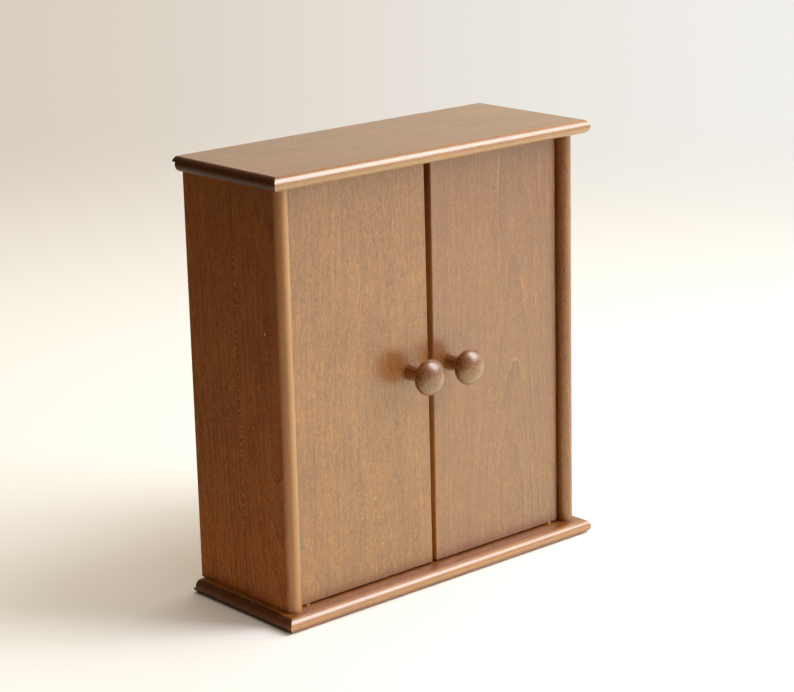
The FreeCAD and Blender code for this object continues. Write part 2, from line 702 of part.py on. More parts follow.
def knob_screw(name, sign):
    """A pan-head machine screw with a cross recess, drawn point up with its head below zero."""
    radius = "(Sizes.knob_screw_round / 2)"
    head = "(Sizes.knob_screw_head_round / 2)"
    side = minus("Sizes.knob_screw_head_side")
    crown = minus("Sizes.knob_screw_head_thick")
    shoulder = f"({head} / 2)"
    corners = [
        (ORIGIN, crown),
        (shoulder, crown),
        (head, side),
        (head, ORIGIN),
        (radius, ORIGIN),
        (radius, "Sizes.knob_screw_long"),
        (ORIGIN, "Sizes.knob_screw_long"),
    ]
    body = turned(f"{name}_knob_screw", corners)
    for wide, tall in (("recess_long", "recess_wide"), ("recess_wide", "recess_long")):
        slot = new_sketch(body, "XY_Plane", crown)
        centred_rectangle(slot, ORIGIN, ORIGIN, f"Sizes.{wide}", f"Sizes.{tall}")
        pocket(body, slot, "Sizes.recess_deep", reverse=True)
    deep = f"({DOOR_BACK} + Sizes.knob_washer_thick)"
    lay(body, FORWARDS, signed(sign, "Sizes.knob_from_middle"), deep, KNOB_Z)


# Small countersunk screws
def small_screw(label, is_model=False):
    """A countersunk screw with a blunt point, drawn from the face of its head."""
    radius = "(Sizes.small_screw_round / 2)"
    long = "Sizes.small_screw_long"
    corners = [
        (ORIGIN, ORIGIN),
        ("(Sizes.small_screw_head_round / 2)", ORIGIN),
        (radius, "Sizes.small_screw_head_deep"),
        (radius, f"({long} - Sizes.small_screw_point)"),
        ("(Sizes.small_screw_tip_round / 2)", long),
        (ORIGIN, long),
    ]
    return turned(label, corners, is_model=is_model)


def countersink(body, role, offset, places, reverse):
    """A cone that takes the small screw's head, sunk from the offset."""
    head_overlap = "((Sizes.small_screw_head_round - Sizes.small_screw_round) / 2)"
    slope = f"atan({head_overlap} / Sizes.small_screw_head_deep)"
    sketch = new_sketch(body, role, offset)
    for across, up in places:
        circle(sketch, across, up, "Sizes.small_screw_head_round")
    pocket(body, sketch, "Sizes.small_screw_head_deep", reverse=reverse)
    body.Tip.setExpression("TaperAngle", minus(slope))
    doc.recompute()


# Magnetic catch under the shelf, and its strike plates on the doors
def catch_case():
    body = new_body("catch_case")
    block = new_sketch(body, "XY_Plane", CATCH_FOOT)
    rectangle(block, minus(HALF_CATCH), HALF_CATCH, CATCH_FRONT, CATCH_BACK)
    pad(body, block, "Sizes.catch_tall")

    def is_upright(edge):
        return edge.BoundBox.ZLength > amount("Sizes.catch_tall / 2")

    round_edges(body, is_upright, "Sizes.catch_corner")

    lugs = new_sketch(body, "XY_Plane", SHELF_UNDER)
    lug_end = f"({HALF_CATCH} + Sizes.catch_lug_out)"
    lug_front = f"({CATCH_BACK} - Sizes.catch_lug_deep)"
    rectangle(lugs, minus(lug_end), lug_end, lug_front, CATCH_BACK)
    pad(body, lugs, "Sizes.catch_lug_thick", reverse=True)

    screws = [(signed(sign, HALF_CATCH_SCREW), CATCH_SCREW_Y) for _, sign in SIDES]
    lug_foot = f"({SHELF_UNDER} - Sizes.catch_lug_thick)"
    holes(body, "XY_Plane", lug_foot, screws, "Sizes.small_screw_round")
    countersink(body, "XY_Plane", lug_foot, screws, reverse=True)

    beds = new_sketch(body, "XZ_Plane", minus(CATCH_FRONT))
    for _, sign in SIDES:
        middle = signed(sign, HALF_MAGNET)
        centred_rectangle(beds, middle, MAGNET_Z, "Sizes.magnet_wide", "Sizes.magnet_tall")
    pocket(body, beds, "(Sizes.magnet_deep - Sizes.magnet_proud)")


def catch_magnets():
    """Two block magnets that stand a little proud of their beds in the case."""
    magnet = new_body("magnet_model", is_model=True)
    face = new_sketch(magnet, "XZ_Plane")
    centred_rectangle(face, ORIGIN, ORIGIN, "Sizes.magnet_wide", "Sizes.magnet_tall")
    pad(magnet, face, "Sizes.magnet_deep", reverse=True)
    places = [(signed(sign, HALF_MAGNET), MAGNET_FRONT, MAGNET_Z) for _, sign in SIDES]
    copies("catch_magnets", magnet, UPWARDS, places)


def catch_screws():
    screw = small_screw("small_screw_model", is_model=True)
    lug_foot = f"({SHELF_UNDER} - Sizes.catch_lug_thick)"
    places = [(signed(sign, HALF_CATCH_SCREW), CATCH_SCREW_Y, lug_foot) for _, sign in SIDES]
    copies("catch_screws", screw, UPWARDS, places)


def strike_plate(name, sign):
    body = new_body(f"{name}_strike_plate")
    middle = signed(sign, HALF_STRIKE)
    face = new_sketch(body, "XZ_Plane", minus(DOOR_BACK))
    centred_rectangle(face, middle, MAGNET_Z, "Sizes.strike_wide", "Sizes.strike_tall")
    pad(body, face, "Sizes.strike_thick", reverse=True)

    def is_through_edge(edge):
        return edge.BoundBox.YLength > amount("Sizes.strike_thick / 2")

    round_edges(body, is_through_edge, "Sizes.strike_corner")
    holes(body, "XZ_Plane", minus(STRIKE_BACK), [(middle, MAGNET_Z)], "Sizes.small_screw_round")
    countersink(body, "XZ_Plane", minus(STRIKE_BACK), [(middle, MAGNET_Z)], reverse=True)


def strike_screw(name, sign):
    screw = small_screw(f"{name}_strike_screw")
    lay(screw, FORWARDS, signed(sign, HALF_STRIKE), STRIKE_BACK, MAGNET_Z)


# The whole cabinet
rounded_board("top_board", CEILING, SUMMIT, lip_at_top=True)
rounded_board("base_board", UNDERSIDE, FLOOR, lip_at_top=False)
back_panel()
back_panel_pins()
shelf()
carcase_dowels()
catch_case()
catch_magnets()
catch_screws()
for name, sign in SIDES:
    side_front_board(name, sign)
    side_rear_board(name, sign)
    door_hinge_board(name, sign)
    door_knob_board(name, sign)
    pivot_bush(f"{name}_foot_bush", sign, f"({FLOOR} - Sizes.bush_long)")
    pivot_bush(f"{name}_head_bush", sign, CEILING)
    pivot_washer(name, sign)
    pivot_pin(f"{name}_foot_pin", sign, "Sizes.door_foot_gap", f"({FLOOR} - {PIN_REACH})")
    pivot_pin(f"{name}_head_pin", sign, "Sizes.door_head_gap", f"({DOOR_HEAD} - Sizes.pivot_pin_in_door)")
    knob(name, sign)
    knob_insert(name, sign)
    knob_washer(name, sign)
    knob_screw(name, sign)
    strike_plate(name, sign)
    strike_screw(name, sign)
doc.recompute()

for item in doc.Objects:
    if "Invalid" in item.State or "Error" in item.State:
        raise RuntimeError(f"{item.Label} failed: {item.State}")
for piece in pieces:
    if piece.Shape.isNull() or not piece.Shape.isValid() or not piece.Shape.Solids:
        raise RuntimeError(f"{piece.Label} has no sound solid")

os.makedirs("parts", exist_ok=True)
for piece in pieces:
    piece.Shape.exportStep(f"parts/{piece.Label}.step")
print(f"{len(pieces)} sub-parts written")
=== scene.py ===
import json
import math

import bmesh
import bpy
from mathutils import Matrix, Vector

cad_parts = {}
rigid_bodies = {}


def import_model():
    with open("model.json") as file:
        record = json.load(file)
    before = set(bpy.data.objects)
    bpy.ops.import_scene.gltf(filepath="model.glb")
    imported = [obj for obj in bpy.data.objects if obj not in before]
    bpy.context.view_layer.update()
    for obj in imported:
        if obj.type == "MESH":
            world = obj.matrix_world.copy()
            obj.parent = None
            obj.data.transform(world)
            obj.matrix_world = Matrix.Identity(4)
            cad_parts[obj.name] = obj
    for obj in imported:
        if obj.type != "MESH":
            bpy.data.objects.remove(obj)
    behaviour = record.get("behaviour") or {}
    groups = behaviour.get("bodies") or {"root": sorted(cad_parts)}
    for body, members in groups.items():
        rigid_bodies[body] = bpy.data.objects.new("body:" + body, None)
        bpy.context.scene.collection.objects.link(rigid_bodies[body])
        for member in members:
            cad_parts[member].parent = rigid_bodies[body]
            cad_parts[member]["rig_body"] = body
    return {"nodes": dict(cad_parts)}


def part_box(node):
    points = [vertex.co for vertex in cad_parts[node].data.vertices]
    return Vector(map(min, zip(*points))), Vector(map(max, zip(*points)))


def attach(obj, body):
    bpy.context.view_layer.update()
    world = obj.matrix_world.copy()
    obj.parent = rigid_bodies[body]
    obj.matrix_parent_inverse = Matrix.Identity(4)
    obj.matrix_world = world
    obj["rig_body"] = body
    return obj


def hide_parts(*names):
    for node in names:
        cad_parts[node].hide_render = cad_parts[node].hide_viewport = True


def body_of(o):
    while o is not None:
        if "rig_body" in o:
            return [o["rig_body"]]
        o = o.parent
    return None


bl_info = {
    "name": "Desktop Cabinet",
    "version": (1, 0, 0),
    "blender": (4, 5, 0),
    "location": "3D View > Sidebar > Cabinet",
    "description": "Models and finishes a two-door desktop cabinet in stained beech",
    "category": "Object",
}

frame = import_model()
NODES = frame["nodes"]
MM = 0.001
SIDES = (("left", -1), ("right", 1))


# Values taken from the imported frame
def reach(node, axis, end):
    """How far a node reaches along an axis: end 0 is its lowest corner, 1 its highest."""
    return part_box(node)[end][axis]


PANEL_FRONT = reach("back_panel", 1, 0)
PANEL_BACK = reach("back_panel", 1, 1)
SIDE_SEAM = reach("left_side_rear_board", 1, 0)
# How the rabbets' lips run on behind the panel's front
LIP_RUN = (0, PANEL_BACK - PANEL_FRONT, 0)

# Places nearer to each other than this are one, and a drill is this much longer than its bush
CLOSE = 0.02 * MM
# A half-round nose is two roundings that almost meet, each of this share of half the thickness
NOSE_SHARE = 0.999
NOSE_SEGMENTS = 14
# Rings of the turned knob, up its stem and round its head
STEM_RINGS = 8
HEAD_RINGS = 28


class CabinetSizes(bpy.types.PropertyGroup):
    """Sizes of the shaping that the makers of such cabinets choose board by board"""

    lip_thick: bpy.props.FloatProperty(
        name="Rear lip", description="Thickness of the lip over the back panel's edge",
        default=4 * MM, unit="LENGTH",
    )
    side_lip_thick: bpy.props.FloatProperty(
        name="Side lip", description="Thickness of each side outside its rabbet",
        default=8 * MM, unit="LENGTH",
    )
    mitre_softness: bpy.props.FloatProperty(
        name="Mitre softness", description="Rounding left by sanding on sharp edges",
        default=0.3 * MM, unit="LENGTH",
    )
    door_arris: bpy.props.FloatProperty(
        name="Door arris", description="Rounding of the doors' outer edges", default=1 * MM, unit="LENGTH"
    )
    shelf_arris: bpy.props.FloatProperty(
        name="Shelf arris", description="Rounding of the shelf's front edges",
        default=1.2 * MM, unit="LENGTH",
    )
    seam_groove: bpy.props.FloatProperty(
        name="Seam groove", description="Width of the fine groove at each glue line",
        default=0.3 * MM, unit="LENGTH",
    )
    meeting_lean: bpy.props.FloatProperty(
        name="Meeting lean", description="How much more each door stands off at the top",
        default=0.9 * MM, unit="LENGTH",
    )
    knob_foot: bpy.props.FloatProperty(
        name="Knob foot", description="Radius of the knob where it meets the door",
        default=7.6 * MM, unit="LENGTH",
    )
    knob_neck: bpy.props.FloatProperty(
        name="Knob neck", description="Radius of the stem under the head", default=6.6 * MM, unit="LENGTH"
    )
    knob_waist: bpy.props.FloatProperty(
        name="Knob waist", description="How far the stem's side curves in", default=0.8 * MM, unit="LENGTH"
    )
    knob_head_thick: bpy.props.FloatProperty(
        name="Knob head", description="Thickness of the knob's head", default=17.6 * MM, unit="LENGTH"
    )


class WoodFinish(bpy.types.PropertyGroup):
    """Stain and lacquer, and the paler colour painted on some edges as sheen and light"""

    stain_dark: bpy.props.StringProperty(
        name="Dark stain", description="Stain in late wood and pores, sRGB hex", default="#6E3A14"
    )
    stain_middle: bpy.props.StringProperty(
        name="Middle stain", description="Stain on most of the wood, sRGB hex", default="#975C25"
    )
    stain_pale: bpy.props.StringProperty(
        name="Pale stain", description="Stain in early wood, sRGB hex", default="#B97334"
    )
    stain_red: bpy.props.StringProperty(
        name="Red stain", description="Where the stain lies redder, sRGB hex", default="#8E4F30"
    )
    end_grain: bpy.props.StringProperty(
        name="End grain", description="Stain in the boards' end grain, sRGB hex", default="#3A1C0C"
    )
    # a paler colour painted on the rounded fronts and on the doors' meeting edge: painted sheen and painted
    # light
    painted_edge_light: bpy.props.StringProperty(
        name="Painted edge light", description="Paler colour painted on edges as sheen and light, sRGB hex",
        default="#DC9A54",
    )
    bare_wood: bpy.props.StringProperty(
        name="Bare wood", description="Wood that chips at the glue lines lay bare, sRGB hex",
        default="#E0B482",
    )
    lacquer_roughness: bpy.props.FloatProperty(
        name="Lacquer roughness", description="Satin lacquer",
        default=0.3, min=0.0, max=1.0, subtype="FACTOR",
    )


class StageSettings(bpy.types.PropertyGroup):
    """Camera, lights and background"""

    camera_place: bpy.props.FloatVectorProperty(
        name="Camera", description="Where the camera stands", default=(-1.23313, -1.43392, 0.71672),
        subtype="TRANSLATION",
    )
    camera_azimuth: bpy.props.FloatProperty(
        name="Azimuth", description="Turn of the view from +Y towards +X",
        default=0.7122138, unit="ROTATION",
    )
    camera_fall: bpy.props.FloatProperty(
        name="Fall", description="How far the view points down", default=0.2703828, unit="ROTATION"
    )
    camera_roll: bpy.props.FloatProperty(
        name="Roll", description="Roll of the view", default=-0.0243457, unit="ROTATION"
    )
    lens: bpy.props.FloatProperty(
        name="Lens", description="Focal length on a 36 mm sensor", default=106.02, subtype="DISTANCE_CAMERA"
    )
    window_power: bpy.props.FloatProperty(
        name="Window", description="Power of the window light in watts", default=30.0, min=0.0
    )
    window_gleam: bpy.props.FloatProperty(
        name="Window gleam", description="Power of the panes that the gloss shows, in watts",
        default=66.0, min=0.0,
    )
    table_sheen: bpy.props.FloatProperty(
        name="Table sheen", description="Radiance of the bright table that the lacquer mirrors",
        default=2.05, min=0.0,
    )
    floor_bounce: bpy.props.FloatProperty(
        name="Floor bounce", description="Power of the light from the floor at the left, in watts",
        default=0.11, min=0.0,
    )
    floor_lift: bpy.props.FloatProperty(
        name="Floor lift", description="How much paler the camera and the gloss see the floor",
        default=1.22, min=1.0,
    )
    room_level: bpy.props.FloatProperty(
        name="Room light", description="Strength of the room's soft light", default=1.0, min=0.0
    )
    floor_colour: bpy.props.StringProperty(
        name="Floor", description="Painted floor, sRGB hex", default="#F9F7F4"
    )
    backdrop_dim: bpy.props.StringProperty(
        name="Backdrop, dim side", description="Background away from the window, sRGB hex",
        default="#D9CEC0",
    )
    backdrop_bright: bpy.props.StringProperty(
        name="Backdrop, bright side", description="Background towards the window, sRGB hex",
        default="#F2F0EC",
    )


# Colours and nodes
def linear(colour):
    """An sRGB hex colour as linear RGB with alpha."""
    channels = [int(colour[start:start + 2], 16) / 255 for start in (1, 3, 5)]
    return tuple(c / 12.92 if c <= 0.04045 else ((c + 0.055) / 1.055) ** 2.4 for c in channels) + (1.0,)


def add(tree, kind, settings=None, inputs=None):
    """Adds a node with its settings, and with values or links for its inputs."""
    node = tree.nodes.new(kind)
    for name, value in (settings or {}).items():
        setattr(node, name, value)
    for socket, value in (inputs or {}).items():
        if isinstance(value, bpy.types.NodeSocket):
            tree.links.new(value, node.inputs[socket])
        else:
            node.inputs[socket].default_value = value
    return node


def new_material(name):
    """An empty material, its node tree and its output."""
    material = bpy.data.materials.new(name)
    material.use_nodes = True
    material.node_tree.nodes.clear()
    output = material.node_tree.nodes.new("ShaderNodeOutputMaterial")
    return material, material.node_tree, output


# How each piece is cut from its log. A pattern's own axes are X across the face, Y into the
# board and Z along the grain, and each cut gives the turn that brings them there.
CUTS = {
    "upright, wide face to the front": Matrix.Identity(3),
    "upright, wide face to the side": Matrix(((0, -1, 0), (1, 0, 0), (0, 0, 1))),
    "lying": Matrix(((0, 1, 0), (0, 0, 1), (1, 0, 0))),
    "turned": Matrix(((1, 0, 0), (0, 0, 1), (0, -1, 0))),
}
FRONT_CUT, SIDE_CUT, LYING_CUT, TURNED_CUT = CUTS

# cut; the pith's place beside and behind the middle of the face in mm; how much a ring's radius
# grows per mm along the grain; ring width in mm; strength of the figure; degrees by which the
# grain runs out of the face; how light the stain lies; contrast; redder stain; lacquer coat
BOARDS = {
    "left_door_hinge_board": (FRONT_CUT, (64.0, 52.0), 0.02, 5.5, 0.7, 4, 0.98, 1.5, -0.25, 1.0),
    "left_door_knob_board": (FRONT_CUT, (-70.0, 60.0), 0.03, 6.0, 0.6, 5, 0.98, 1.5, -0.2, 1.0),
    "right_door_knob_board": (FRONT_CUT, (60.0, 44.0), 0.02, 5.5, 0.8, -4, 0.94, 1.6, 0.12, 1.0),
    "right_door_hinge_board": (FRONT_CUT, (-14.0, 30.0), 0.04, 4.6, 1.5, 4, 0.92, 1.6, 0.12, 1.0),
    # the left side's boards lie darker and redder than the right side's: partly their stain, partly painted
    # shade for the side away from the window
    "left_side_front_board": (SIDE_CUT, (18.0, 26.0), -0.05, 4.6, 1.5, 12, 0.87, 1.7, 0.25, 0.06),
    "left_side_rear_board": (SIDE_CUT, (-44.0, 34.0), 0.04, 4.8, 1.3, 6, 0.87, 1.7, 0.2, 0.06),
    "right_side_front_board": (SIDE_CUT, (-12.0, -30.0), 0.04, 4.6, 0.9, -10, 0.95, 1.6, 0.0, 0.8),
    "right_side_rear_board": (SIDE_CUT, (20.0, -36.0), 0.03, 4.8, 0.9, 6, 0.95, 1.6, 0.0, 0.8),
    "top_board": (LYING_CUT, (26.0, -50.0), 0.03, 5.2, 0.7, 4, 0.85, 1.9, -0.05, 1.0),
    "base_board": (LYING_CUT, (-24.0, -44.0), 0.03, 5.0, 0.7, 4, 0.95, 1.9, 0.0, 1.0),
    "shelf": (LYING_CUT, (20.0, -40.0), 0.03, 5.0, 0.5, 3, 1.0, 1.0, 0.0, 0.6),
    "left_knob": (TURNED_CUT, (18.0, 10.0), 0.02, 2.6, 2.4, 0, 0.78, 2.2, -0.3, 0.9),
    "right_knob": (TURNED_CUT, (-12.0, -16.0), 0.02, 2.8, 2.4, 0, 0.84, 2.2, -0.3, 0.9),
}

# The wood's noise patterns: size of a lump in mm across, into and along the grain, detail,
# roughness, and how strongly it swings the stain's tone. Fibres are about 0.05 mm thick and ray
# flecks 0.3 by 2 mm: they are drawn about eighteen and three times as thick, or they would be
# lost between the pixels.
PATTERNS = {
    "wander": ((60, 60, 240), 2, 0.5, 0.0),
    "wobble": ((7, 7, 45), 2, 0.5, 0.0),
    "broken": ((16, 16, 50), 1, 0.5, 0.0),
    "hue": ((10, 10, 30), 3, 0.6, 0.0),
    "flecks": ((1.0, 1.0, 3.4), 1, 0.5, -0.35),
    "fibres": ((0.9, 0.9, 20), 3, 0.6, 0.75),
    "grit": ((1.1, 1.1, 2.6), 2, 0.6, 0.8),
    "clouds": ((24, 24, 60), 3, 0.55, 0.3),
    "bands": ((6, 9, 300), 3, 0.6, 0.34),
    "mottle": ((3.4, 3.4, 8), 2, 0.6, 0.35),
}

# How far in mm the slow and the quick pattern move the growth rings
STRAYS = {"wander": 22, "wobble": 2}


def grain_patterns(tree, grain, number):
    """The noise patterns of a board, which each board takes from another part of the noise."""
    patterns = {}
    for shift, (name, (lump, detail, roughness, _)) in enumerate(PATTERNS.items()):
        # counted in lumps, so far apart that no two boards and no two patterns look alike
        moved = {
            "Vector": grain,
            "Scale": [1 / size for size in lump],
            "Location": (number * 7.3 + shift * 3, number * 3.1 + shift * 5, number * 5.7),
        }
        moved = add(tree, "ShaderNodeMapping", {"vector_type": "POINT"}, moved).outputs[0]
        inputs = {"Vector": moved, "Scale": 1.0, "Detail": detail, "Roughness": roughness}
        patterns[name] = add(tree, "ShaderNodeTexNoise", None, inputs).outputs
    return patterns


def growth_rings(tree, patterns, own, along, pith, taper, ring):
    """The rings round a pith that wanders along the log.

    Each year has a tone of its own and darkens slowly towards its late wood, and the next one
    starts with a thin pale line, which is broken here and there.
    """
    centre = own
    for name, stray in STRAYS.items():
        moved = {0: patterns[name]["Color"], 1: (stray, stray, 0), 2: centre}
        centre = add(tree, "ShaderNodeVectorMath", {"operation": "MULTIPLY_ADD"}, moved).outputs[0]
    back = -sum(STRAYS.values()) / 2
    moved = {0: centre, 1: (1, 1, 0), 2: (back - pith[0], back - pith[1], 0)}
    centre = add(tree, "ShaderNodeVectorMath", {"operation": "MULTIPLY_ADD"}, moved).outputs[0]
    rings = add(tree, "ShaderNodeVectorMath", {"operation": "LENGTH"}, {0: centre}).outputs["Value"]
    rings = {0: along, 1: taper, 2: rings}
    rings = add(tree, "ShaderNodeMath", {"operation": "MULTIPLY_ADD"}, rings).outputs[0]
    rings = add(tree, "ShaderNodeMath", {"operation": "DIVIDE"}, {0: rings, 1: ring}).outputs[0]
    year = {"W": rings, "Scale": 0.4, "Detail": 2.0}
    year = add(tree, "ShaderNodeTexNoise", {"noise_dimensions": "1D"}, year).outputs[0]
    growth = add(tree, "ShaderNodeMath", {"operation": "FRACT"}, {0: rings}).outputs[0]
    late = add(tree, "ShaderNodeMath", {"operation": "POWER"}, {0: growth, 1: 3.0}).outputs[0]
    line = {"Value": growth, "From Min": 0.12, "From Max": 0.0}
    line = add(tree, "ShaderNodeMapRange", {"interpolation_type": "SMOOTHSTEP"}, line).outputs[0]
    broken = {"Value": patterns["broken"][0], "From Min": 0.4, "From Max": 0.65}
    broken = add(tree, "ShaderNodeMapRange", {"interpolation_type": "SMOOTHSTEP"}, broken).outputs[0]
    line = add(tree, "ShaderNodeMath", {"operation": "MULTIPLY"}, {0: line, 1: broken}).outputs[0]
    return year, late, line


def glue_line_chips(tree, board, across, along, half):
    """Where tiny chips along a glue line lay the wood bare, as in such sanded edge joints."""
    if "side" in board:
        # a row of dots about every 5 mm on the line itself, over its middle two thirds
        seam = -half if "front" in board else half
        chosen = {0: across, 1: seam, 2: 0.5}
        chosen = add(tree, "ShaderNodeMath", {"operation": "COMPARE"}, chosen).outputs[0]
        dots = {"W": along, "Scale": 0.2, "Randomness": 0.8}
        spots = add(tree, "ShaderNodeTexVoronoi", {"voronoi_dimensions": "1D"}, dots).outputs["Distance"]
        size, middle, reach_up, bareness = 0.12, 7.0, 119.0, 0.5
    else:
        # specks strewn up to 22 mm beside the line near the door's foot, fewer further from it
        seam = half if "hinge" in board else -half
        nearness = {"Value": across, "From Min": seam * (1 - 22 / half), "From Max": seam, "To Max": 0.4}
        nearness = add(tree, "ShaderNodeMapRange", None, nearness).outputs[0]
        # one speck at most in each cell of 3.4 by 6.5 mm
        cells = add(tree, "ShaderNodeCombineXYZ", None, {0: across, 2: along}).outputs[0]
        cells = {"Vector": cells, "Scale": (1 / 3.4, 1, 1 / 6.5)}
        cells = add(tree, "ShaderNodeMapping", {"vector_type": "POINT"}, cells).outputs[0]
        cells = add(tree, "ShaderNodeTexVoronoi", None, {"Vector": cells, "Scale": 1.0}).outputs
        drawn = add(tree, "ShaderNodeSeparateColor", None, {0: cells["Color"]}).outputs[0]
        chosen = {0: drawn, 1: nearness}
        chosen = add(tree, "ShaderNodeMath", {"operation": "LESS_THAN"}, chosen).outputs[0]
        spots = cells["Distance"]
        size, middle, reach_up, bareness = 0.15, -130.0, 40.0, 0.8
    chips = add(tree, "ShaderNodeMath", {"operation": "LESS_THAN"}, {0: spots, 1: size}).outputs[0]
    within = {0: along, 1: middle, 2: reach_up}
    within = add(tree, "ShaderNodeMath", {"operation": "COMPARE"}, within).outputs[0]
    for share in (chosen, within, bareness):
        chips = add(tree, "ShaderNodeMath", {"operation": "MULTIPLY"}, {0: chips, 1: share}).outputs[0]
    return chips


def wear_and_painted_light(tree, board, own, across, along):
    """Masks with their colours, and the lacquer's coat, for a board's edges and glue lines: real wear and
    stain, and painted sheen and painted light on some edges.
    """
    finish = bpy.context.scene.cabinet_finish
    cut, coat = BOARDS[board][0], BOARDS[board][-1]
    low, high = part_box(board)
    half = (high[1] - low[1] if cut == SIDE_CUT else high[0] - low[0]) / 2 / MM
    layers = []
    if cut == LYING_CUT:
        # the rounded front is painted paler, a painted sheen: this fades out 4 to 7 mm behind it
        depth = (high[1] - low[1]) / 2 / MM
        share = {"Value": across, "From Min": 7 - depth, "From Max": 4 - depth, "To Max": 0.35}
        layers.append((add(tree, "ShaderNodeMapRange", None, share).outputs[0], finish.painted_edge_light))
        # end grain drinks stain and lacquer: from the mitres on, the last 5 mm are dull and black-brown
        from_front = add(tree, "ShaderNodeMath", {"operation": "ADD"}, {0: across, 1: depth}).outputs[0]
        within = {0: from_front, 1: 5.0}
        within = add(tree, "ShaderNodeMath", {"operation": "MINIMUM"}, within).outputs[0]
        to_end = add(tree, "ShaderNodeMath", {"operation": "ABSOLUTE"}, {0: along}).outputs[0]
        past_mitre = add(tree, "ShaderNodeMath", {"operation": "ADD"}, {0: to_end, 1: within}).outputs[0]
        share = {"Value": past_mitre, "From Min": half - 0.3, "From Max": half + 0.6, "To Max": 0.8}
        layers.append((add(tree, "ShaderNodeMapRange", None, share).outputs[0], finish.end_grain))
        share |= {"To Min": coat, "To Max": 0.12}
        coat = add(tree, "ShaderNodeMapRange", None, share).outputs[0]
    if board.startswith("left_side"):
        # the glue line itself is a fine dark line
        seam = {0: across, 1: -half if "front" in board else half, 2: 0.4}
        seam = add(tree, "ShaderNodeMath", {"operation": "COMPARE"}, seam).outputs[0]
        layers.append((seam, finish.stain_dark))
    if board.startswith(("left_side", "left_door")):
        layers.append((glue_line_chips(tree, board, across, along, half), finish.bare_wood))
    if board == "left_side_front_board":
        # the last 7 mm of the rounded front are painted pale, a painted sheen, and the lacquer there rises
        # to a full coat
        share = {"Value": across, "From Min": half - 7, "From Max": half - 2, "To Max": 0.5}
        layers.append((add(tree, "ShaderNodeMapRange", None, share).outputs[0], finish.painted_edge_light))
        share = {"Value": across, "From Min": half - 7, "From Max": half - 3, "To Min": coat, "To Max": 1.0}
        coat = add(tree, "ShaderNodeMapRange", None, share).outputs[0]
        # one tiny nick, from the board's middle in mm, and its radius
        nick_place, nick_size = (7.25, -6.5, 55.5), 0.8
        nick = {0: own, 1: nick_place}
        nick = add(tree, "ShaderNodeVectorMath", {"operation": "DISTANCE"}, nick).outputs["Value"]
        nick = add(tree, "ShaderNodeMath", {"operation": "LESS_THAN"}, {0: nick, 1: nick_size}).outputs[0]
        layers.append((nick, finish.bare_wood))
    if board == "right_door_knob_board":
        # the edge that meets the other door is painted pale, painted light on the face seen in the gap, and
        # only its last half millimetre
        share = {"Value": across, "From Min": 0.9 - half, "From Max": 0.4 - half, "To Max": 1.0}
        layers.append((add(tree, "ShaderNodeMapRange", None, share).outputs[0], finish.painted_edge_light))
    return layers, coat


